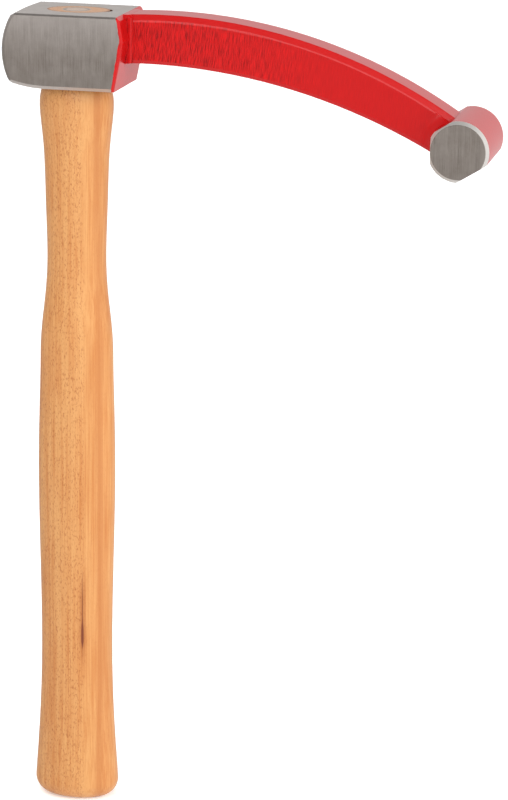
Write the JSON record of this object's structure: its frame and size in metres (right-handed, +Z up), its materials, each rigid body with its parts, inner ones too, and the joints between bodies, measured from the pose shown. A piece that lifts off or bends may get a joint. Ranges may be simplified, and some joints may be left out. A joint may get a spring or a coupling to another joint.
{
  "type": "wheel arch body hammer",
  "caption": "Body hammer with a crowned square block, a long curved arm ending in a cross drum, and an oval wooden handle wedged in the eye.",
  "frame": {"origin": "where the handle's axis meets the top face of the block", "axes": "+Z up the handle, out of the top of the head; +X from the crowned block along the arm to the drum; Y along the drum"},
  "size_m": [0.1972, 0.0404, 0.3353],
  "materials": {
    "head_steel": "gloss red paint on the arm, ground bare steel on the block and the drum's ends",
    "handle_wood": "clear lacquered ash",
    "wedge_wood": "bare end grain",
    "wedge_steel": "dull steel"
  },
  "bodies": {
    "root": {"head": "head_steel", "handle": "handle_wood", "wooden_wedge": "wedge_wood", "ring_wedge": "wedge_steel"}
  },
  "joints": []
}
